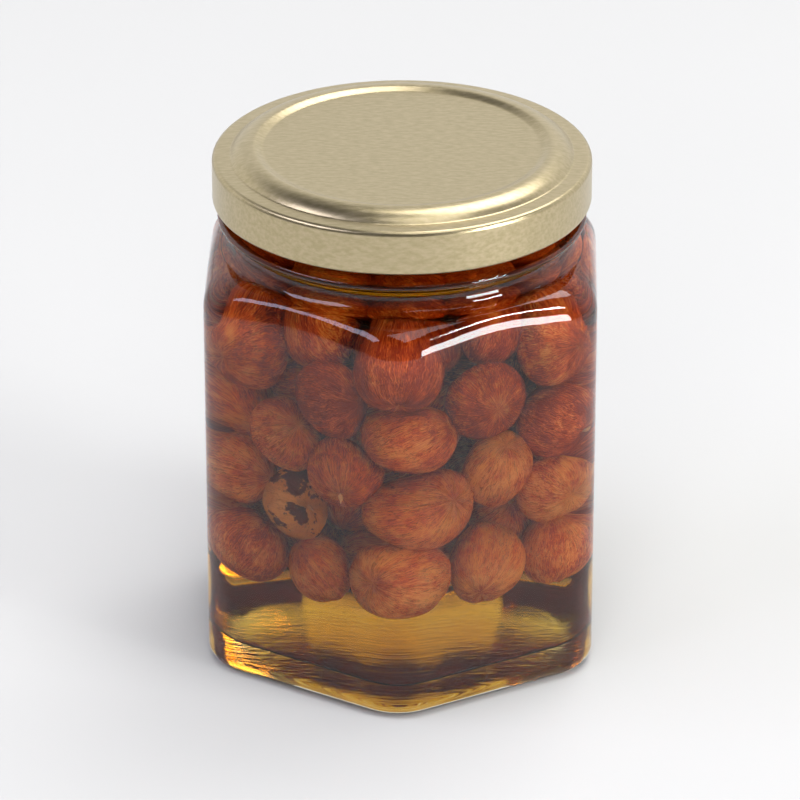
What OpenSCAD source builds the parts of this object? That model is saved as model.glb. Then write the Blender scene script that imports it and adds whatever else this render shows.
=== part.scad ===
// Six-sided honey jar with a pressed twist-off lid, filled with honey.
// Millimetres. The jar stands on z = 0, centred on the Z axis, with one upright corner towards -Y.

/* [Body] */
// Width of the glass body across two opposite faces
body_w = 68; // [62:0.5:76]
// Outer radius of the six upright corners
corner_r = 10; // [8:0.5:13]
// Height at which the upright faces end and the shoulder starts
face_top = 68.2; // [45:0.2:100]
// Thickness of the glass in the walls, shoulder and neck
wall = 2.6; // [2:0.1:3.2]

/* [Base] */
// Radius of the rounded heel between the faces and the base
heel_r = 3; // [2.4:0.1:6]
// Radius of the same corner inside the jar
inner_heel_r = 6; // [3:0.1:7]
// Thickness of the glass above the surface that the jar stands on
base_t = 4.4; // [3.4:0.1:7]
// Radius of the shallow hollow under the base
punt_r = 24; // [16:0.5:26]
// Depth of that hollow, which the inside of the base follows
punt_h = 1.6; // [0.5:0.1:2.2]

/* [Shoulder and neck] */
// Height over which the faces roll in to the round neck
shoulder_h = 6.2; // [4:0.1:9]
// Outer diameter of the neck below the transfer bead
neck_d = 58.2; // [54:0.2:60]
// Outer diameter of the neck inside the lid
rim_d = 56.4; // [52:0.2:58]
// Height of the neck from the top of the shoulder to the rim
neck_h = 17.8; // [15:0.2:24]
// Radius of the hollow curve between shoulder and neck
flare_r = 3; // [2:0.1:3.6]
// How far the transfer bead stands out from the neck
bead_out = 3; // [1.5:0.1:3.4]
// Height of the bead's sloped underside
bead_h = 3.2; // [2.5:0.1:4]
// Rounding of the bead's crest
bead_r = 0.7; // [0.4:0.1:0.9]
// Rounding of the rim
rim_r = 0.9; // [0.4:0.1:1.1]

/* [Honey] */
// Space left empty between the honey and the rim
headspace = 3.5; // [1:0.1:8]

/* [Lid] */
// Thickness of the pressed plate
plate = 0.3; // [0.2:0.05:0.5]
// Room for the threads between the neck and the inside of the skirt
thread_room = 4.4; // [3.6:0.1:5]
// Distance from the rim down to the lid's lower edge
skirt_h = 9.1; // [7.4:0.1:11]
// Gap between the lid's lower edge and the crest of the bead
bead_gap = 2.2; // [1.5:0.1:4]
// Radius of the rolled hem along the lid's lower edge
hem_r = 0.7; // [0.5:0.05:1]
// Rounding between the skirt and the ledge
ledge_r = 0.9; // [0.6:0.1:1.4]
// Depth of the ledge below the rim
ledge_drop = 1; // [0.8:0.1:1.4]
// Clearance between the inside of the neck and the sunk centre panel
panel_clearance = 0.15; // [0.1:0.05:0.6]
// Thickness of plate and sealing compound over the rim
ring_t = 0.75; // [0.6:0.05:1]
// Depth of the centre panel below the raised ring
panel_drop = 0.6; // [0.3:0.05:0.8]
// Width of the soft step between the panel and the ring
panel_step = 2.1; // [1:0.1:2.6]
// Radius of the ring's domed outer side
dome_r = 5.2; // [4:0.1:6]
// Radius of the hollow curve at the foot of that side
foot_r = 0.6; // [0.3:0.05:1]
// Clearance between the neck and the lid around the rim
seat_clearance = 0.3; // [0.2:0.05:0.5]

/* [Hidden] */
$fn = 96;

sides = 6;
turn = 360 / sides;
corner_steps = 6;
flat_steps = 4;
corner_at = (body_w / 2 - corner_r) / cos(turn / 2);
neck_r = neck_d / 2;
top_r = rim_d / 2;
bore_r = top_r - wall;
shoulder_top = face_top + shoulder_h;
rim_z = shoulder_top + neck_h;
lid_low = rim_z - skirt_h;
bead_z = lid_low - bead_gap;
lid_r = top_r + thread_room + plate;
ledge_z = rim_z - ledge_drop;
ring_z = rim_z + ring_t;
panel_z = ring_z - panel_drop;
overshoot = 5;

// Points of an arc about [x, y], from angle a0 to angle a1.
function arc(x, y, r, a0, a1, steps = 10) =
    [for (i = [0:steps]) let (a = a0 + (a1 - a0) * i / steps) [x + r * cos(a), y + r * sin(a)]];

// Radius of a sphere whose cap is `r` wide and `h` high.
function cap_radius(r, h) = (r * r + h * h) / (2 * h);

// Point of the rounded outline that lies `r` outside the hexagon of the corner centres.
function corner_point(k, a, r) = let (c = turn * (k + 0.5))
    [corner_at * cos(c) + r * cos(a), corner_at * sin(c) + r * sin(a)];

// One side of that outline: from the middle of corner k, along the flat face, to the next corner.
function side_points(k, r) =
    let (from = corner_point(k, turn * (k + 1), r), to = corner_point(k + 1, turn * (k + 1), r))
    concat(
        [for (i = [corner_steps / 2:corner_steps]) corner_point(k, turn * (k + i / corner_steps), r)],
        [for (i = [1:flat_steps - 1]) from + (to - from) * i / flat_steps],
        [for (i = [0:corner_steps / 2 - 1]) corner_point(k + 1, turn * (k + 1 + i / corner_steps), r)]
    );

// Ring at height z, drawn in towards a circle of radius `round_r` by the share `t`.
function outline(r, z, round_r, t) =
    [for (k = [0:sides - 1]) for (p = side_points(k, r))
        let (q = p * (1 - t + t * round_r / norm(p))) [q[0], q[1], z]];

// Six-sided block with rounded corners and a rounded foot, rolling in at the top to a circle.
module six_sided(reach, low, top, heel, round_r) {
    rings = concat(
        [for (p = arc(reach - heel, low + heel, heel, -90, 0, 5)) [p[0], p[1], 0]],
        [for (a = [0:10:80]) [reach, top - shoulder_h + shoulder_h * sin(a), 1 - cos(a)]],
        [[reach, top, 1]]
    );
    n = sides * (corner_steps + flat_steps);
    last = (len(rings) - 1) * n;
    polyhedron(
        points = [for (p = rings) each outline(p[0], p[1], round_r, p[2])],
        faces = concat(
            [[for (i = [0:n - 1]) i]],
            [for (j = [0:n:last - 1]) for (i = [0:n - 1])
                [j + i, j + n + i, j + n + (i + 1) % n, j + (i + 1) % n]],
            [[for (i = [n - 1:-1:0]) last + i]]
        )
    );
}

// Outside of the neck: the hollow curve from the shoulder, the transfer bead and the rim.
module neck() {
    foot_z = shoulder_top - wall / 2;
    flare_z = shoulder_top + flare_r * 0.8;
    rotate_extrude()
        polygon(concat(
            [[0, foot_z], [neck_r + flare_r * 0.8, foot_z]],
            arc(neck_r + flare_r, flare_z, flare_r, 235, 180),
            [[neck_r, max(bead_z - bead_h, flare_z + 0.1)]],
            arc(neck_r + bead_out - bead_r, bead_z - bead_r, bead_r, -40, 80, 8),
            [[top_r + 0.6, bead_z + 0.7], [top_r, bead_z + 1.4]],
            arc(top_r - rim_r, rim_z - rim_r, rim_r, 0, 90, 8),
            [[0, rim_z]]
        ));
}

// Space inside the glass, from the domed floor up to the height `top`.
module cavity(top) {
    cap = cap_radius(punt_r, punt_h);
    difference() {
        union() {
            six_sided(corner_r - wall, base_t, shoulder_top - wall, inner_heel_r, bore_r + flare_r / 2);
            translate([0, 0, base_t + punt_h])
                cylinder(r = bore_r, h = top - base_t - punt_h);
        }
        translate([0, 0, base_t + punt_h - cap]) sphere(cap);
    }
}

module glass_jar() {
    cap = cap_radius(punt_r, punt_h);
    color([0.86, 0.9, 0.88, 0.35])
        difference() {
            union() {
                six_sided(corner_r, 0, shoulder_top, heel_r, neck_r + flare_r * 0.6);
                neck();
            }
            cavity(rim_z + overshoot);
            translate([0, 0, punt_h - cap]) sphere(cap);
        }
}

module honey() {
    color([0.62, 0.33, 0.06, 0.85]) cavity(rim_z - headspace);
}

// Plate section: over the panel, the raised ring, the ledge and the skirt, round the hem and back.
module lid() {
    seat_x = top_r - rim_r + seat_clearance;
    seat_z = rim_z - rim_r;
    panel_r = bore_r - panel_clearance - 0.8 * panel_step;
    crest_r = panel_r + panel_step;
    dome_end = acos(1 - (ring_z - ledge_z) / (dome_r + foot_r));
    foot_x = crest_r + (dome_r + foot_r) * sin(dome_end);
    curl_x = lid_r - hem_r;
    curl_z = lid_low + hem_r;
    over = concat(
        [[0, panel_z]],
        [for (t = [0:0.125:1])
            [panel_r + panel_step * t, panel_z + panel_drop * (1 - cos(180 * t)) / 2]],
        arc(crest_r, ring_z - dome_r, dome_r, 88, 90 - dome_end, 12),
        arc(foot_x, ledge_z + foot_r, foot_r, 270 - dome_end + 8, 270, 5),
        arc(lid_r - ledge_r, ledge_z - 0.1 - ledge_r, ledge_r, 90, 0, 8)
    );
    hem = arc(curl_x, curl_z, hem_r, 0, -270, 18);
    under = concat(
        [[lid_r - plate, curl_z + hem_r + plate]],
        arc(lid_r - ledge_r, ledge_z - 0.1 - ledge_r, ledge_r - plate, 0, 90, 8),
        [[seat_x + rim_r, ledge_z - plate]],
        arc(seat_x, seat_z, rim_r, 0, 90, 8),
        [[panel_r + 0.8 * panel_step, rim_z]],
        [[panel_r, panel_z - plate], [0, panel_z - plate]]
    );
    color([0.78, 0.71, 0.52])
        rotate_extrude() polygon(concat(over, hem, under));
}

glass_jar();
honey();
lid();
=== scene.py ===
# Honey with whole hazelnuts in a six-sided glass jar with a gold twist-off lid.
# Shapes are worked out in mm in the frame of the CAD model, and turned to metres as each mesh is made.
import bpy
import math
import numpy as np
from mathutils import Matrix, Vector


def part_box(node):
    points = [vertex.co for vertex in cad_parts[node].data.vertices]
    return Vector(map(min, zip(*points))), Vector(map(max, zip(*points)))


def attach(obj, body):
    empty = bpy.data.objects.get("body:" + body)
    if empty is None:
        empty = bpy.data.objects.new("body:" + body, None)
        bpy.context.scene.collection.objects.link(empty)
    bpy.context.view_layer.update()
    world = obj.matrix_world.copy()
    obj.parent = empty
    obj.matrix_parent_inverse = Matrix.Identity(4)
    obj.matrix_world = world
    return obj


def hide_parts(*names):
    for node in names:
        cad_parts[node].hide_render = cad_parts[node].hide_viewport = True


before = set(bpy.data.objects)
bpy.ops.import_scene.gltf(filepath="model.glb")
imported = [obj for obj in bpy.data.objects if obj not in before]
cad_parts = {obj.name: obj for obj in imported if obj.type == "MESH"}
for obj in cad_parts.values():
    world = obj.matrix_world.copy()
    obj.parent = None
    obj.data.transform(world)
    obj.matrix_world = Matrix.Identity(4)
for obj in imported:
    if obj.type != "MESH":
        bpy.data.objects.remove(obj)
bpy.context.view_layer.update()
mm = 0.001


def toLinear(hexColor):
    # an sRGB hex colour as linear RGBA
    parts = [int(hexColor[i:i + 2], 16) / 255 for i in (1, 3, 5)]
    return tuple(p / 12.92 if p <= 0.04045 else ((p + 0.055) / 1.055) ** 2.4 for p in parts) + (1.0,)


def addNode(tree, kind, values=None, links=None, **settings):
    node = tree.nodes.new(kind)
    for key, value in settings.items():
        setattr(node, key, value)
    for key, value in (values or {}).items():
        node.inputs[key].default_value = value
    for key, source in (links or {}).items():
        tree.links.new(source, node.inputs[key])
    return node


def newMaterial(name):
    material = bpy.data.materials.new(name)
    material.use_nodes = True
    material.node_tree.nodes.clear()
    return material, material.node_tree


def newPiece(name, points, faces, materials, faceMaterial=None):
    mesh = bpy.data.meshes.new(name)
    mesh.from_pydata((np.asarray(points) * mm).tolist(), [], faces)
    mesh.polygons.foreach_set("use_smooth", [True] * len(mesh.polygons))
    for material in materials:
        mesh.materials.append(material)
    if faceMaterial is not None:
        mesh.polygons.foreach_set("material_index", faceMaterial)
    mesh.update()
    piece = bpy.data.objects.new(name, mesh)
    bpy.context.scene.collection.objects.link(piece)
    return piece


def ringFaces(rings, count):
    # quads between rings that run in order, and a fan from each end ring to its pole
    faces = []
    for j in range(rings - 1):
        for i in range(count):
            k = (i + 1) % count
            faces.append((j * count + i, j * count + k, (j + 1) * count + k, (j + 1) * count + i))
    last = (rings - 1) * count
    pole = rings * count
    faces += [((i + 1) % count, i, pole) for i in range(count)]
    faces += [(last + i, last + (i + 1) % count, pole + 1) for i in range(count)]
    return faces


def closeRings(rings, firstZ, lastZ):
    # the rings with a pole on the axis at each end
    points = np.concatenate(rings + [np.array([[0, 0, firstZ], [0, 0, lastZ]])])
    return points, ringFaces(len(rings), len(rings[0]))


def ringAt(radius, z, angles):
    # radius is one number, or one for each angle
    return np.stack([radius * np.cos(angles), radius * np.sin(angles), np.full(len(angles), z)], 1)


def arc(x, z, r, start, end, steps):
    angles = np.radians(np.linspace(start, end, steps + 1))
    return [(x + r * math.cos(a), z + r * math.sin(a)) for a in angles]


# sizes that the CAD model settles
jarLow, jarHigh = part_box("glass_jar")
honeyLow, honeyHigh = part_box("honey")
lidLow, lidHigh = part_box("lid")
halfWidth = jarHigh.x / mm
wallT = halfWidth - honeyHigh.x / mm
rimZ = jarHigh.z / mm
levelZ = honeyHigh.z / mm
floorZ = honeyLow.z / mm
lidR = lidHigh.x / mm
lidLowZ = lidLow.z / mm

jarShape = {
    # the six-sided body and the shallow hollow under it
    "cornerR": 10.0, "faceTop": 68.2, "shoulderH": 6.2, "heelR": 3.0, "innerHeelR": 6.0,
    "puntR": 24.0, "puntH": 1.6,
    # the round neck: its foot flares out to the shoulder, and a bead stands out below the lid
    "neckR": 29.1, "rimR": 28.2, "rimRound": 0.9, "flareR": 3.0, "flareStart": 255.0, "flareLap": 0.75,
    "flareLift": 0.97, "beadOut": 3.0, "beadH": 3.2, "beadGap": 2.2, "beadRound": 0.7,
    "boreRound": 1.2, "boreFlare": 1.3,
}
jarMesh = {"cornerSteps": 22, "flatSteps": 8, "faceSteps": 12, "shoulderSteps": 24, "puntSteps": 14}
shoulderTop = jarShape["faceTop"] + jarShape["shoulderH"]
boreR = jarShape["rimR"] - wallT


def sectorAngles():
    # finer steps round the six corners than along the flats
    half = math.degrees(math.atan2(jarShape["cornerR"] / 2, halfWidth + 2)) + 1
    corner = np.linspace(30 - half, 30 + half, jarMesh["cornerSteps"] + 1)
    flat = np.linspace(30 + half, 90 - half, jarMesh["flatSteps"] + 1)[1:-1]
    sector = np.concatenate([corner, flat])
    return np.radians(np.concatenate([sector + 60 * k for k in range(6)]))


turnAngles = sectorAngles()


def hexRadius(offset, angles):
    # distance from the axis to a rounded hexagon that lies `offset` outside the corner centres
    core = halfWidth - jarShape["cornerR"]
    cornerAt = core / math.cos(math.pi / 6)
    fold = np.abs((angles + math.pi / 6) % (math.pi / 3) - math.pi / 6)
    onFlat = (core + offset) / np.cos(fold)
    aside = math.pi / 6 - fold
    under = np.maximum(offset ** 2 - (cornerAt * np.sin(aside)) ** 2, 0.0)
    onCorner = cornerAt * np.cos(aside) + np.sqrt(under)
    return np.where((core + offset) * np.tan(fold) <= core * math.tan(math.pi / 6), onFlat, onCorner)


def hexRing(offset, z, circleR=0.0, roundness=0.0):
    # roundness 0 is the hexagon, 1 is a circle of circleR
    radius = hexRadius(offset, turnAngles) * (1 - roundness) + circleR * roundness
    return ringAt(radius, z, turnAngles)


def circleRings(path):
    return [ringAt(r, z, turnAngles) for r, z in path]


def bodyRings(reach, low, heelR, top, roundR):
    # from the heel up the faces and over the shoulder, which rolls in to a circle
    shoulderH = jarShape["shoulderH"]
    faceEnd = top - shoulderH
    rings = [hexRing(x, z) for x, z in arc(reach - heelR, low + heelR, heelR, -90, 0, 12)]
    rings += [hexRing(reach, z) for z in np.linspace(low + heelR, faceEnd, jarMesh["faceSteps"])[1:]]
    for bend in np.radians(np.linspace(0, 90, jarMesh["shoulderSteps"] + 1)[1:]):
        rings.append(hexRing(reach, faceEnd + shoulderH * math.sin(bend), roundR, 1 - math.cos(bend)))
    return rings


def puntPath(base):
    # a shallow dome in the middle of the base, from near the axis out to its edge
    radius, height, steps = jarShape["puntR"], jarShape["puntH"], jarMesh["puntSteps"]
    ball = (radius ** 2 + height ** 2) / (2 * height)
    return [(r, base + height - ball + math.sqrt(ball ** 2 - r ** 2))
            for r in np.linspace(radius / steps, radius, steps)]


def outerRings():
    s = jarShape
    neckR, rimR, flareR, beadRound = s["neckR"], s["rimR"], s["flareR"], s["beadRound"]
    beadZ = lidLowZ - s["beadGap"]
    rings = circleRings(puntPath(0.0))
    rings += [hexRing(x, 0.0) for x in (1.0, 3.2, s["cornerR"] - s["heelR"] - 0.2)]
    rings += bodyRings(s["cornerR"], 0.0, s["heelR"], shoulderTop, neckR + flareR * s["flareLap"])
    neck = arc(neckR + flareR, shoulderTop + flareR * s["flareLift"], flareR, s["flareStart"], 180, 12)
    neck += [(neckR, beadZ - s["beadH"] - 0.3), (neckR + 0.08, beadZ - s["beadH"])]
    neck += arc(neckR + s["beadOut"] - beadRound, beadZ - beadRound, beadRound, -42, 80, 12)
    # inside the lid the bead slopes in to the straight finish
    neck += [(rimR + 1.2, beadZ + 0.45), (rimR + 0.35, beadZ + 0.85), (rimR, beadZ + 1.5)]
    neck += [(rimR, beadZ + 3.5), (rimR, rimZ - 1.4)]
    neck += arc(rimR - s["rimRound"], rimZ - s["rimRound"], s["rimRound"], 0, 90, 10)
    return rings + circleRings(neck)


def innerRings(grow, topZ):
    # the inside of the glass, bottom to top, moved outwards by `grow`
    s = jarShape
    reach = s["cornerR"] - wallT + grow
    low = floorZ - grow
    top = shoulderTop - wallT + grow
    bore = boreR + grow
    rings = circleRings(puntPath(low))
    rings += [hexRing(0.4, low), hexRing(reach - s["innerHeelR"] - 0.1, low)]
    rings += bodyRings(reach, low, s["innerHeelR"], top, bore + s["boreFlare"])
    neck = arc(bore + s["boreRound"], top + s["boreRound"], s["boreRound"], 260, 180, 8)
    neck += [(bore, z) for z in np.linspace(top + s["boreRound"] + 1, topZ, 8)]
    return rings + circleRings(neck)


print("jar")
jarLook = {
    "ior": 1.52, "tint": "#FDFEFE", "roughness": 0.0,
    # mm: the walls ripple finely along the level and slowly up the jar, the base in level streaks
    "wallWave": (0.5263, 0.5263, 6.25), "wallRelief": 0.005,
    "baseWave": (4.1667, 1.25, 1.25), "baseRelief": 0.13,
}


def ripple(tree, wave, relief, detail):
    # waves of the glass surface as a normal; wave is their length in mm along x, y and z
    where = addNode(tree, "ShaderNodeTexCoord")
    drawn = addNode(tree, "ShaderNodeMapping", {"Scale": [1 / (size * mm) for size in wave]},
                    {"Vector": where.outputs["Object"]})
    noise = addNode(tree, "ShaderNodeTexNoise", {"Scale": 1.0, "Detail": detail},
                    {"Vector": drawn.outputs[0]})
    bump = addNode(tree, "ShaderNodeBump", {"Strength": 1.0, "Distance": relief * mm},
                   {"Height": noise.outputs["Fac"]})
    return bump.outputs[0]


def glassMaterial(name, wave, relief, detail):
    material, tree = newMaterial(name)
    shader = addNode(tree, "ShaderNodeBsdfPrincipled", {
        "Base Color": toLinear(jarLook["tint"]), "Roughness": jarLook["roughness"], "IOR": jarLook["ior"],
        "Transmission Weight": 1.0}, {"Normal": ripple(tree, wave, relief, detail)})
    addNode(tree, "ShaderNodeOutputMaterial", links={"Surface": shader.outputs[0]})
    return material


def wettedGlassMaterial():
    # honey bends light as glass does, so the wetted side has no shine of its own
    material, tree = newMaterial("Flint glass, wetted by honey")
    shader = addNode(tree, "ShaderNodeBsdfRefraction", {"Roughness": 0.0, "IOR": jarLook["ior"]})
    addNode(tree, "ShaderNodeOutputMaterial", links={"Surface": shader.outputs[0]})
    return material


def makeJar():
    # fire polished: hard thin highlights and hardly any tint
    polished = glassMaterial("Flint glass, fire polished", jarLook["wallWave"], jarLook["wallRelief"], 2.0)
    # stippled by the mould: what the base mirrors breaks into level streaks
    stippled = glassMaterial("Flint glass, mould stippled", jarLook["baseWave"], jarLook["baseRelief"], 5.0)
    outer = outerRings()
    inner = innerRings(0.0, rimZ - 0.25) + circleRings([(boreR + 0.25, rimZ)])
    rings = outer + inner[::-1]
    puntH = jarShape["puntH"]
    points, faces = closeRings(rings, puntH, floorZ + puntH)
    baseRings = jarMesh["puntSteps"] + 3  # the hollow and the flat ring round it
    faceMaterial = []
    for face in faces:
        j = face[0] // len(turnAngles)
        z = rings[j][0, 2]
        if j >= len(outer):
            faceMaterial.append(1 if z < levelZ + 0.3 else 0)
        else:
            faceMaterial.append(2 if j < baseRings or z < 0.3 else 0)
    piece = newPiece("glassJar", points, faces, [polished, wettedGlassMaterial(), stippled], faceMaterial)
    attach(piece, "root")
    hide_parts("glass_jar")


makeJar()

print("honey")
# density is in 1/m; reach is how far in mm the honey goes into the wall, so that no gap shows
honeyLook = {"ior": 1.49, "clear": "#EEDA0A", "density": 120.0, "roughness": 0.02, "reach": 0.12}


def honeyMaterial():
    # strained light-amber honey: lets light through, golden where thin and brown where deep
    material, tree = newMaterial("Clear amber honey, strained")
    shader = addNode(tree, "ShaderNodeBsdfRefraction", {
        "Roughness": honeyLook["roughness"], "IOR": honeyLook["ior"]})
    volume = addNode(tree, "ShaderNodeVolumeAbsorption", {
        "Color": toLinear(honeyLook["clear"]), "Density": honeyLook["density"]})
    addNode(tree, "ShaderNodeOutputMaterial", links={
        "Surface": shader.outputs[0], "Volume": volume.outputs[0]})
    return material


def makeHoney():
    rings = innerRings(honeyLook["reach"], levelZ)
    points, faces = closeRings(rings, floorZ + jarShape["puntH"] - honeyLook["reach"], levelZ)
    piece = newPiece("honey", points, faces, [honeyMaterial()])
    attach(piece, "root")
    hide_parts("honey")


makeHoney()

print("hazelnuts")
nutSet = {
    "seed": 11, "count": 82, "smallR": 6.5, "largeR": 7.7, "glassGap": 0.3,
    "clearZ": 16.5,  # honey stays clear of nuts below this
    "rings": 26, "segments": 44,
    "startOut": 22.0, "startLowZ": 22.0, "startHighZ": 80.0,
    "steps": 900, "floatSteps": 700, "lift": 0.10, "ease": 0.42,
    "bareAt": (-13.5, -20.5, 30.0),  # the nut nearest to here has shed most of its skin
    "stalkShare": 0.3, "shrink": 0.985,
    "topGap": 0.5, "neckRise": 2.5,  # below the shoulder's glass, and how far up the neck nuts may float
    "heldGap": 0.25,  # from any point of a nut to the glass
    # each nut's tone: the most it can be; the most for nuts high up, kept darker as painted shade under the
    # shoulder and lid; and that of the bare nut
    "toneMost": 0.85, "toneMostInShade": 0.5, "toneBare": 0.97, "shadeAboveZ": 62.0,
}
nutForm = {
    # shares of the nut's radius, as the least and the most
    "swell": (-0.04, 0.04), "tip": (-0.05, 0.13), "scarDeep": (0.08, 0.24), "scarWide": (0.22, 0.4),
    "slitDeep": (0.0, 0.09), "long": (0.95, 1.04), "wide": (0.92, 1.02), "tall": (0.93, 1.1),
    # how many lobes run round the nut, and how deep
    "lobes": ((2, 0.035), (3, 0.03), (5, 0.012), (7, 0.008), (11, 0.006)),
    "scarLobes": 8, "scarLobeDeep": 0.03,
}


def packNuts(rng):
    # balls of nut size pushed apart inside the glass; they float up and leave clear honey below
    s = nutSet
    count = s["count"]
    radius = rng.uniform(s["smallR"], s["largeR"], count)
    place = np.stack([rng.uniform(-s["startOut"], s["startOut"], count),
                      rng.uniform(-s["startOut"], s["startOut"], count),
                      rng.uniform(s["startLowZ"], s["startHighZ"], count)], 1)
    normals = [np.array([math.cos(k * math.pi / 3), math.sin(k * math.pi / 3)]) for k in range(6)]
    wallAt = halfWidth - wallT - s["glassGap"]
    bore = boreR - s["glassGap"]
    ceiling = shoulderTop - wallT - s["topGap"]
    for step in range(s["steps"]):
        apart = place[:, None] - place[None]
        gap = np.linalg.norm(apart, axis=2) + np.eye(count) * 1e3
        hit = np.maximum(radius[:, None] + radius[None] - gap, 0)
        place += (apart / gap[..., None] * hit[..., None]).sum(1) * s["ease"]
        if step < s["floatSteps"]:
            place[:, 2] += s["lift"]
        for normal in normals:
            over = np.maximum(place[:, :2] @ normal - (wallAt - radius), 0)
            place[:, :2] -= over[:, None] * normal
        place[:, 2] = np.clip(place[:, 2], s["clearZ"] + radius, ceiling + s["neckRise"] - radius)
        # under the shoulder a nut gives way downwards or inwards, whichever is the shorter way
        out = np.hypot(place[:, 0], place[:, 1])
        highOver = place[:, 2] + radius - ceiling
        sideOver = out + radius - bore
        caught = (highOver > 0) & (sideOver > 0)
        lower = caught & (highOver <= sideOver)
        place[lower, 2] -= highOver[lower]
        inward = caught & ~lower
        place[:, :2] *= np.where(inward, (out - sideOver) / np.maximum(out, 0.01), 1)[:, None]
    return place, radius


def heldIn(points):
    # whatever would pass through the glass is pressed back against it
    s = jarShape
    top = shoulderTop - wallT
    angles = np.arctan2(points[:, 1], points[:, 0])
    rise = np.clip((points[:, 2] - top + s["shoulderH"]) / s["shoulderH"], 0, 1)
    share = 1 - np.sqrt(1 - rise ** 2)
    limit = hexRadius(s["cornerR"] - wallT, angles) * (1 - share) + (boreR + s["boreFlare"]) * share
    limit = np.where(points[:, 2] > top, boreR, limit) - nutSet["heldGap"]
    reach = np.hypot(points[:, 0], points[:, 1])
    held = points.copy()
    held[:, :2] *= np.minimum(1, limit / np.maximum(reach, 0.01))[:, None]
    return held


def unitNut():
    # a closed ball of rings from the base scar (-Z) to the tip (+Z)
    polar = np.linspace(-math.pi / 2, math.pi / 2, nutSet["rings"] + 1)[1:-1]
    turn = np.linspace(0, 2 * math.pi, nutSet["segments"], endpoint=False)
    rings = [ringAt(math.cos(p), math.sin(p), turn) for p in polar]
    return closeRings(rings, -1, 1)


def shapeNut(ball, rng):
    # one nut from the ball: a dimpled, creased base, a blunt tip and uneven sides
    s = nutForm
    angle = np.arctan2(ball[:, 1], ball[:, 0])
    fromTip = np.arccos(np.clip(ball[:, 2], -1, 1))
    fromScar = np.pi - fromTip
    size = np.ones(len(ball))
    for _ in range(6):
        way = rng.normal(size=3)
        way /= np.linalg.norm(way)
        size += rng.uniform(*s["swell"]) * np.sin(rng.uniform(1.8, 3.8) * (ball @ way) + rng.uniform(0, 6))
    for lobes, deep in s["lobes"]:
        share = deep * rng.uniform(0.3, 1.0)
        size += share * np.sin(fromTip) * np.cos(lobes * angle + rng.uniform(0, 6) + 0.6 * ball[:, 2])
    size += rng.uniform(*s["tip"]) * np.exp(-(fromTip / 0.3) ** 2)
    size -= rng.uniform(*s["scarDeep"]) * np.exp(-(fromScar / rng.uniform(*s["scarWide"])) ** 2)
    folds = np.cos(s["scarLobes"] * angle + rng.uniform(0, 6)) * (fromScar > 0.05)
    size += s["scarLobeDeep"] * np.exp(-(fromScar / 0.8) ** 2) * folds
    slit = np.abs((angle - rng.uniform(-3, 3) + math.pi) % (2 * math.pi) - math.pi)
    size -= rng.uniform(*s["slitDeep"]) * np.exp(-(slit / 0.16) ** 2) * np.exp(-fromScar ** 2)
    stretch = np.array([rng.uniform(*s["long"]), rng.uniform(*s["wide"]), rng.uniform(*s["tall"])])
    return ball * size[:, None] * stretch


def turnBy(rng):
    # a turn about any axis, as a matrix
    w, x, y, z = (lambda q: q / np.linalg.norm(q))(rng.normal(size=4))
    return np.array([
        [1 - 2 * (y * y + z * z), 2 * (x * y - z * w), 2 * (x * z + y * w)],
        [2 * (x * y + z * w), 1 - 2 * (x * x + z * z), 2 * (y * z - x * w)],
        [2 * (x * z - y * w), 2 * (y * z + x * w), 1 - 2 * (x * x + y * y)]])


nutLook = {
    # the first colour is painted shade along the creases; the rest are the nuts' own colours
    "shadedCrease": "#5E1E0E", "deep": "#A23617", "mid": "#E05C26", "light": "#FFA050",
    "kernel": "#E6924C", "flake": "#6E2A1C", "stalk": "#E2BE8C",
    # mm on a nut of typical radius: how wide the lines are and how far they run before they change
    "typicalR": 7.1, "broadLine": 1.1833, "broadRun": 5.0714, "fineLine": 0.13148, "fineRun": 1.1833,
    "patch": 4.4375, "wander": 4.1765, "rag": 6.4545,
    "sway": 0.22, "relief": 0.5, "stalkFibre": 1.1111,
    # how much each pattern counts in the tone, the shift from the darkest nut to the lightest, and the
    # tones where the deep, mid and light colours stand
    "broadShare": 0.26, "fineShare": 0.85, "patchShare": 0.62, "toneShift": (-0.47, -0.24),
    "stops": (0.36, 0.50, 0.66),
    "shedAbove": 0.86, "ragEdge": (0.52, 0.545),
}


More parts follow.
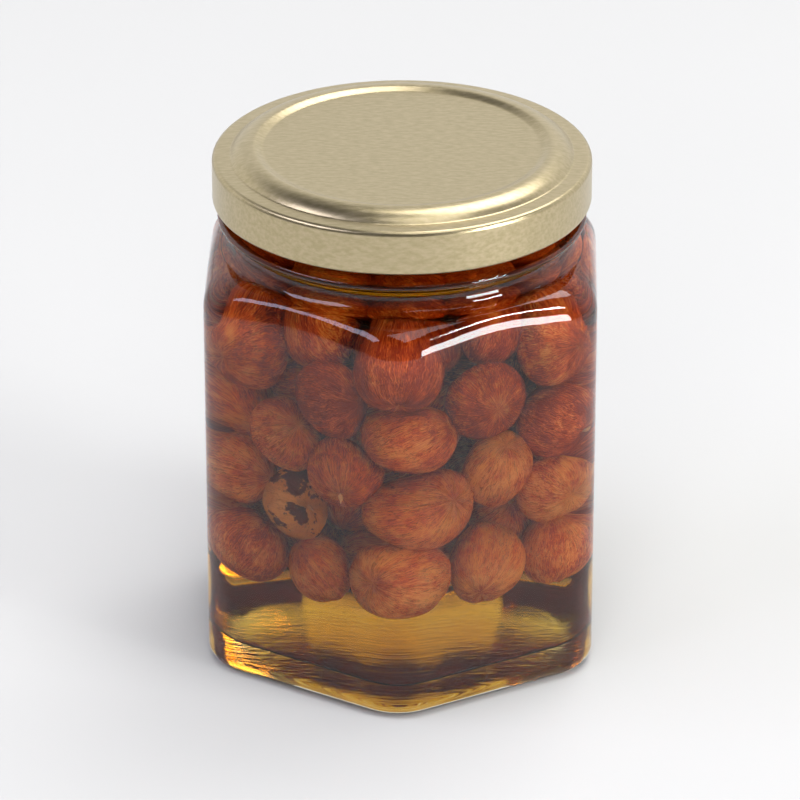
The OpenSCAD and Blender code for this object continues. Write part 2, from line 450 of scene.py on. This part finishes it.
def skinMaterial():
    # skins soaked in honey: matt and russet, with fine darker and paler lines from end to end
    look = nutLook
    material, tree = newMaterial("Hazelnut skin, raw, soaked in honey")
    local = addNode(tree, "ShaderNodeAttribute", attribute_name="nutSpace").outputs["Vector"]
    toneAndShade = addNode(tree, "ShaderNodeAttribute", attribute_name="nutToneAndShade").outputs["Fac"]
    shift = addNode(tree, "ShaderNodeMath", {1: 61.0}, {0: toneAndShade}, operation="MULTIPLY").outputs[0]
    split = addNode(tree, "ShaderNodeSeparateXYZ", links={0: local})
    flat = addNode(tree, "ShaderNodeCombineXYZ", links={0: split.outputs[0], 1: split.outputs[1]})
    spoke = addNode(tree, "ShaderNodeVectorMath", links={0: flat.outputs[0]}, operation="NORMALIZE")
    # the lines sway a little on their way from end to end
    wander = addNode(tree, "ShaderNodeTexNoise", {"Scale": look["typicalR"] / look["wander"], "Detail": 2.0},
                     {"Vector": local, "W": shift}, noise_dimensions="4D")
    sway = addNode(tree, "ShaderNodeVectorMath", {"Scale": look["sway"]},
                   {0: wander.outputs["Color"]}, operation="SCALE")
    course = addNode(tree, "ShaderNodeVectorMath", links={0: spoke.outputs[0], 1: sway.outputs[0]},
                     operation="ADD")

    def lines(width, run, detail):
        wide = addNode(tree, "ShaderNodeVectorMath", {"Scale": look["typicalR"] / width},
                       {0: course.outputs[0]}, operation="SCALE")
        tall = addNode(tree, "ShaderNodeMath", {1: look["typicalR"] / run},
                       {0: split.outputs[2]}, operation="MULTIPLY")
        lift = addNode(tree, "ShaderNodeCombineXYZ", links={2: tall.outputs[0]})
        where = addNode(tree, "ShaderNodeVectorMath", links={0: wide.outputs[0], 1: lift.outputs[0]},
                        operation="ADD")
        return addNode(tree, "ShaderNodeTexNoise", {"Scale": 1.0, "Detail": detail, "Roughness": 0.65},
                       {"Vector": where.outputs[0], "W": shift}, noise_dimensions="4D").outputs["Fac"]

    def patches(size, roughness, detail):
        return addNode(tree, "ShaderNodeTexNoise", {
            "Scale": look["typicalR"] / size, "Detail": detail, "Roughness": roughness},
            {"Vector": local, "W": shift}, noise_dimensions="4D").outputs["Fac"]

    # tone: broad lines, fine lines and patches together, and darker or lighter from nut to nut; the nuts high
    # up are darker as painted shade
    broad = lines(look["broadLine"], look["broadRun"], 5.0)
    fine = lines(look["fineLine"], look["fineRun"], 4.0)
    patch = patches(look["patch"], 0.6, 6.0)
    broadPart = addNode(tree, "ShaderNodeMath", {1: look["broadShare"]}, {0: broad},
                        operation="MULTIPLY").outputs[0]
    lined = addNode(tree, "ShaderNodeMath", {1: look["fineShare"]}, {0: fine, 2: broadPart},
                    operation="MULTIPLY_ADD").outputs[0]
    patched = addNode(tree, "ShaderNodeMath", {1: look["patchShare"]}, {0: patch, 2: lined},
                      operation="MULTIPLY_ADD").outputs[0]
    darkest, lightest = look["toneShift"]
    nutTone = addNode(tree, "ShaderNodeMapRange", {"To Min": darkest, "To Max": lightest},
                      {0: toneAndShade}).outputs[0]
    tone = addNode(tree, "ShaderNodeMath", links={0: patched, 1: nutTone}, operation="ADD").outputs[0]
    ramp = addNode(tree, "ShaderNodeValToRGB", links={0: tone})
    darkEnd, lightEnd = ramp.color_ramp.elements
    deepAt, midAt, lightAt = look["stops"]
    darkEnd.position, darkEnd.color = deepAt, toLinear(look["deep"])
    lightEnd.position, lightEnd.color = lightAt, toLinear(look["light"])
    ramp.color_ramp.elements.new(midAt).color = toLinear(look["mid"])

    # creases: where the broad lines cross their middle value; each is a groove in the bump, and painted shade
    # darkens the skin colour along it
    off = addNode(tree, "ShaderNodeMath", {1: 0.5}, {0: broad}, operation="SUBTRACT").outputs[0]
    depth = addNode(tree, "ShaderNodeMath", links={0: off}, operation="ABSOLUTE").outputs[0]
    shadedCrease = addNode(tree, "ShaderNodeMapRange", {"From Min": 0.012, "From Max": 0.0, "To Max": 0.6},
                     {0: depth}).outputs[0]
    withCreaseShade = addNode(tree, "ShaderNodeMix", {7: toLinear(look["shadedCrease"])}, {0: shadedCrease, 6: ramp.outputs[0]},
                      data_type="RGBA").outputs[2]

    # the shed nut: tan kernel with dark ragged flakes left on it
    shed = addNode(tree, "ShaderNodeMath", {1: look["shedAbove"]}, {0: toneAndShade},
                   operation="GREATER_THAN").outputs[0]
    bare = addNode(tree, "ShaderNodeMath", {1: 0.6}, {0: shed}, operation="MULTIPLY").outputs[0]
    peeled = addNode(tree, "ShaderNodeMix", {7: toLinear(look["kernel"])}, {0: bare, 6: withCreaseShade},
                     data_type="RGBA").outputs[2]
    ragLow, ragHigh = look["ragEdge"]
    ragged = addNode(tree, "ShaderNodeMapRange", {"From Min": ragLow, "From Max": ragHigh},
                     {0: patches(look["rag"], 0.62, 9.0)}).outputs[0]
    flake = addNode(tree, "ShaderNodeMath", links={0: ragged, 1: shed}, operation="MULTIPLY").outputs[0]
    color = addNode(tree, "ShaderNodeMix", {7: toLinear(look["flake"])}, {0: flake, 6: peeled},
                    data_type="RGBA").outputs[2]

    height = addNode(tree, "ShaderNodeMath", {1: -0.5}, {0: shadedCrease, 2: lined}, operation="MULTIPLY_ADD")
    bump = addNode(tree, "ShaderNodeBump", {"Strength": 0.9, "Distance": look["relief"] * mm},
                   {"Height": height.outputs[0]})
    shader = addNode(tree, "ShaderNodeBsdfPrincipled", {"Roughness": 0.6, "Specular IOR Level": 0.0},
                     {"Base Color": color, "Normal": bump.outputs[0]})
    addNode(tree, "ShaderNodeOutputMaterial", links={"Surface": shader.outputs[0]})
    return material


def stalkMaterial():
    # dried stalk ends: pale straw, dull
    material, tree = newMaterial("Hazelnut stalk end, dry")
    fibre = addNode(tree, "ShaderNodeTexNoise", {"Scale": 1 / (nutLook["stalkFibre"] * mm), "Detail": 3.0})
    color = addNode(tree, "ShaderNodeMix", {6: toLinear(nutLook["stalk"]), 7: toLinear(nutLook["mid"])},
                    {0: fibre.outputs["Fac"]}, data_type="RGBA").outputs[2]
    shader = addNode(tree, "ShaderNodeBsdfPrincipled", {"Roughness": 0.7, "Specular IOR Level": 0.0},
                     {"Base Color": color})
    addNode(tree, "ShaderNodeOutputMaterial", links={"Surface": shader.outputs[0]})
    return material


def shapeStalk(ball, rng):
    # a short stalk end of mm size, thicker and thinner along its length and leaning over
    lean = rng.uniform(-0.5, 0.5, 2)
    stalk = ball * np.array([0.36, 0.42, 1.05]) * (1 + 0.25 * np.sin(5 * ball[:, 2:3] + rng.uniform(0, 6)))
    stalk[:, 0] += 0.1 * np.abs(stalk[:, 2])
    stalk[:, :2] += np.outer(stalk[:, 2], lean)
    return stalk


def makeNuts():
    s = nutSet
    rng = np.random.default_rng(s["seed"])
    place, radius = packNuts(rng)
    ball, nutFaces = unitNut()
    nuts, toneAndShade, stalks = [], [], []
    bareNut = np.argmin(np.linalg.norm(place - np.array(s["bareAt"]), axis=1))
    for i, (spot, size) in enumerate(zip(place, radius)):
        tilt = turnBy(rng)
        shaped = shapeNut(ball, rng) * size * s["shrink"]
        nuts.append(shaped @ tilt.T + spot)
        # nuts high up under the shoulder and lid get a darker tone: painted shade
        tone = rng.random() * (s["toneMost"] if spot[2] < s["shadeAboveZ"] else s["toneMostInShade"])
        toneAndShade.append(np.full(len(ball), s["toneBare"] if i == bareNut else tone))
        if rng.random() < s["stalkShare"]:
            # it stands in the dimple, its root just under the skin
            root = shaped[np.argmin(ball[:, 2])] - np.array([0, 0, 0.5])
            stalks.append((shapeStalk(ball, rng) + root) @ tilt.T + spot)

    def joined(name, shapes, material):
        faces = [tuple(v + i * len(ball) for v in face) for i in range(len(shapes)) for face in nutFaces]
        piece = newPiece(name, heldIn(np.concatenate(shapes)), faces, [material])
        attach(piece, "root")
        return piece

    piece = joined("hazelnuts", nuts, skinMaterial())
    nutSpace = piece.data.attributes.new("nutSpace", "FLOAT_VECTOR", "POINT")
    nutSpace.data.foreach_set("vector", np.concatenate([ball] * len(nuts)).ravel())
    nutToneAndShade = piece.data.attributes.new("nutToneAndShade", "FLOAT", "POINT")
    nutToneAndShade.data.foreach_set("value", np.concatenate(toneAndShade))
    joined("stalkEnds", stalks, stalkMaterial())


makeNuts()

print("lid")
lidShape = {
    "plate": 0.3, "hemR": 0.7, "ledgeR": 0.9, "ledgeDrop": 1.0, "ringT": 0.75, "panelDrop": 0.6,
    "seatGap": 0.3, "panelGap": 0.15, "panelStep": 2.1, "domeR": 5.2, "footR": 0.6, "segments": 192,
}
# grain in mm, longer along the way the sheet was rolled and drawn coarser than it is, so that it shows
lidLook = {
    "goldLow": "#B1A37F", "goldHigh": "#C2B391", "roughness": (0.285, 0.32),
    "grain": (1.8182, 0.5882, 0.5882),
}


def lidPath():
    # the section of the pressed sheet: from the middle of the panel out over the top, round the hem and back
    s = lidShape
    rimRound = jarShape["rimRound"]
    seatX = jarShape["rimR"] - rimRound + s["seatGap"]
    panelR = boreR - s["panelGap"] - 0.8 * s["panelStep"]
    crestR = panelR + s["panelStep"]
    ringZ = rimZ + s["ringT"]
    panelZ = ringZ - s["panelDrop"]
    ledgeZ = rimZ - s["ledgeDrop"]
    domeEnd = math.degrees(math.acos(1 - (ringZ - ledgeZ) / (s["domeR"] + s["footR"])))
    footX = crestR + (s["domeR"] + s["footR"]) * math.sin(math.radians(domeEnd))
    curlX, curlZ = lidR - s["hemR"], lidLowZ + s["hemR"]
    edgeX, edgeZ = lidR - s["ledgeR"], ledgeZ - 0.1 - s["ledgeR"]
    path = [(r, panelZ) for r in np.linspace(1.0, panelR - 1.0, 14)]
    path += [(panelR + s["panelStep"] * t, panelZ + s["panelDrop"] * (1 - math.cos(math.pi * t)) / 2)
             for t in np.linspace(0, 1, 17)]
    path += arc(crestR, ringZ - s["domeR"], s["domeR"], 88, 90 - domeEnd, 16)
    path += arc(footX, ledgeZ + s["footR"], s["footR"], 270 - domeEnd + 6, 270, 8)
    path += arc(edgeX, edgeZ, s["ledgeR"], 90, 0, 12)
    path += [(lidR, z) for z in np.linspace(edgeZ - 0.5, curlZ + 0.3, 4)]
    path += arc(curlX, curlZ, s["hemR"], 0, -270, 28)
    path += [(lidR - s["plate"], curlZ + s["hemR"] + s["plate"])]
    path += arc(edgeX, edgeZ, s["ledgeR"] - s["plate"], 0, 90, 8)
    path += [(seatX + rimRound, ledgeZ - s["plate"])]
    path += arc(seatX, rimZ - rimRound, rimRound, 0, 90, 8)
    path += [(panelR + 0.8 * s["panelStep"], rimZ), (panelR, panelZ - s["plate"]), (1.0, panelZ - s["plate"])]
    return path, panelZ


def lidMaterial():
    # gold lacquer baked on rolled tinplate: satin, with a short grain
    material, tree = newMaterial("Tinplate, gold lacquered and baked")
    where = addNode(tree, "ShaderNodeTexCoord")
    along = addNode(tree, "ShaderNodeMapping", {"Scale": [1 / (size * mm) for size in lidLook["grain"]]},
                    {"Vector": where.outputs["Object"]})
    grain = addNode(tree, "ShaderNodeTexNoise", {"Scale": 1.0, "Detail": 3.0, "Roughness": 0.6},
                    {"Vector": along.outputs[0]})
    smoothest, roughest = lidLook["roughness"]
    shine = addNode(tree, "ShaderNodeMapRange", {
        "From Min": 0.3, "From Max": 0.7, "To Min": smoothest, "To Max": roughest},
        {0: grain.outputs["Fac"]})
    spread = addNode(tree, "ShaderNodeMapRange", {"From Min": 0.35, "From Max": 0.65},
                     {0: grain.outputs["Fac"]})
    color = addNode(tree, "ShaderNodeMix", {
        6: toLinear(lidLook["goldLow"]), 7: toLinear(lidLook["goldHigh"])},
        {0: spread.outputs[0]}, data_type="RGBA").outputs[2]
    shader = addNode(tree, "ShaderNodeBsdfPrincipled", {"Metallic": 1.0},
                     {"Base Color": color, "Roughness": shine.outputs[0]})
    addNode(tree, "ShaderNodeOutputMaterial", links={"Surface": shader.outputs[0]})
    return material


def makeLid():
    path, panelZ = lidPath()
    turn = np.linspace(0, 2 * math.pi, lidShape["segments"], endpoint=False)
    rings = [ringAt(r, z, turn) for r, z in path[::-1]]
    points, faces = closeRings(rings, panelZ - lidShape["plate"], panelZ)
    piece = newPiece("twistOffLid", points, faces, [lidMaterial()])
    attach(piece, "root")
    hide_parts("lid")


makeLid()

print("table and studio")
scene = bpy.context.scene
tableLook = {"half": 3000.0, "low": "#B9B9B8", "high": "#BCBCBB", "speck": 25.0, "below": 0.03}


def makeTable():
    # matt card: takes soft shadows and hardly shines
    material, tree = newMaterial("Card, matt white")
    speck = addNode(tree, "ShaderNodeTexNoise", {"Scale": 1 / (tableLook["speck"] * mm), "Detail": 2.0})
    tint = addNode(tree, "ShaderNodeMix", {6: toLinear(tableLook["low"]), 7: toLinear(tableLook["high"])},
                   {0: speck.outputs["Fac"]}, data_type="RGBA")
    shader = addNode(tree, "ShaderNodeBsdfPrincipled", {"Roughness": 0.9, "Specular IOR Level": 0.1},
                     {"Base Color": tint.outputs[2]})
    addNode(tree, "ShaderNodeOutputMaterial", links={"Surface": shader.outputs[0]})
    half, z = tableLook["half"], -tableLook["below"]
    corners = [(-half, -half, z), (half, -half, z), (half, half, z), (-half, half, z)]
    newPiece("table", corners, [(0, 1, 2, 3)], [material])


makeTable()

# a pale cove behind the jar, dark overhead and in the room in front
studio = {
    "cove": "#FFFFFF", "overhead": "#505052", "coveTop": 0.52, "overheadFrom": 0.78,
    "frontAt": -0.15, "backAt": 0.35, "frontLight": 0.16, "backLight": 0.98,
}


def makeStudio():
    world = bpy.data.worlds.new("studio")
    scene.world = world
    world.use_nodes = True
    tree = world.node_tree
    tree.nodes.clear()
    way = addNode(tree, "ShaderNodeTexCoord")
    split = addNode(tree, "ShaderNodeSeparateXYZ", links={0: way.outputs["Generated"]})
    shade = addNode(tree, "ShaderNodeValToRGB", links={0: split.outputs[2]})
    low, high = shade.color_ramp.elements
    low.position, low.color = 0.0, toLinear(studio["cove"])
    high.position, high.color = studio["overheadFrom"], toLinear(studio["overhead"])
    shade.color_ramp.elements.new(studio["coveTop"]).color = toLinear(studio["cove"])
    strength = addNode(tree, "ShaderNodeMapRange", {
        "From Min": studio["frontAt"], "From Max": studio["backAt"],
        "To Min": studio["frontLight"], "To Max": studio["backLight"]}, {0: split.outputs[1]})
    ambient = addNode(tree, "ShaderNodeBackground", links={
        "Color": shade.outputs[0], "Strength": strength.outputs[0]})
    addNode(tree, "ShaderNodeOutputWorld", links={0: ambient.outputs[0]})


makeStudio()

lamps = {
    # azimuth from +X, elevation, distance in m, width and height in m, watts, colour, seen in reflections
    "keySoftbox": (56, 60, 2.6, 1.5, 1.5, 33.0, "#FFFFFF", True),
    "topSoftbox": (-50, 74, 1.9, 1.0, 1.0, 6.5, "#FFFFFF", True),
    "sideStrip": (-35, 8, 1.3, 0.52, 0.34, 10.0, "#FFFFFF", True),
    "upperStrip": (-26, 34, 1.5, 0.50, 0.10, 8.0, "#FFFFFF", True),
    "leftPanel": (200, 49, 1.5, 1.0, 0.42, 7.0, "#E6E6FF", True),
    "topFill": (-80, 78, 3.4, 2.2, 2.2, 66.0, "#FFFFFF", False),
    "frontFill": (-92, 34, 3.4, 1.8, 1.8, 48.0, "#FFFFFF", False),
}
lampAim = Vector((0, 0, 0.05))


def directionOf(azimuth, elevation):
    a, e = math.radians(azimuth), math.radians(elevation)
    return Vector((math.cos(a) * math.cos(e), math.sin(a) * math.cos(e), math.sin(e)))


for name, (azimuth, elevation, distance, width, height, power, color, mirrored) in lamps.items():
    light = bpy.data.lights.new(name, "AREA")
    light.shape = "RECTANGLE"
    light.size, light.size_y = width, height
    light.energy = power
    light.color = toLinear(color)[:3]
    lamp = bpy.data.objects.new(name, light)
    lamp.visible_glossy = mirrored
    lamp.location = lampAim + distance * directionOf(azimuth, elevation)
    lamp.rotation_euler = (lampAim - lamp.location).to_track_quat("-Z", "Y").to_euler()
    scene.collection.objects.link(lamp)

print("camera")
# azimuth from +X in degrees, distance and the aim point in mm
cameraSet = {"azimuth": -88.7, "elevation": 26.5, "distance": 972.0, "lens": 247.5, "aim": (-0.35, 0.0, 43.5)}
camera = bpy.data.objects.new("camera", bpy.data.cameras.new("camera"))
camera.data.lens = cameraSet["lens"]
camera.data.sensor_width = 36.0
back = directionOf(cameraSet["azimuth"], cameraSet["elevation"])
camera.location = (Vector(cameraSet["aim"]) + back * cameraSet["distance"]) * mm
camera.rotation_mode = "QUATERNION"
camera.rotation_quaternion = (-back).to_track_quat("-Z", "Y")
scene.collection.objects.link(camera)
scene.camera = camera

# light has to pass through glass, honey and glass again, there and back
scene.view_settings.view_transform = "Standard"
scene.cycles.max_bounces = 24
scene.cycles.transmission_bounces = 24
scene.cycles.diffuse_bounces = 4
scene.cycles.glossy_bounces = 6
scene.cycles.transparent_max_bounces = 16
scene.cycles.caustics_refractive = True
scene.cycles.caustics_reflective = False
scene.cycles.blur_glossy = 0.5
scene.cycles.sample_clamp_indirect = 6.0
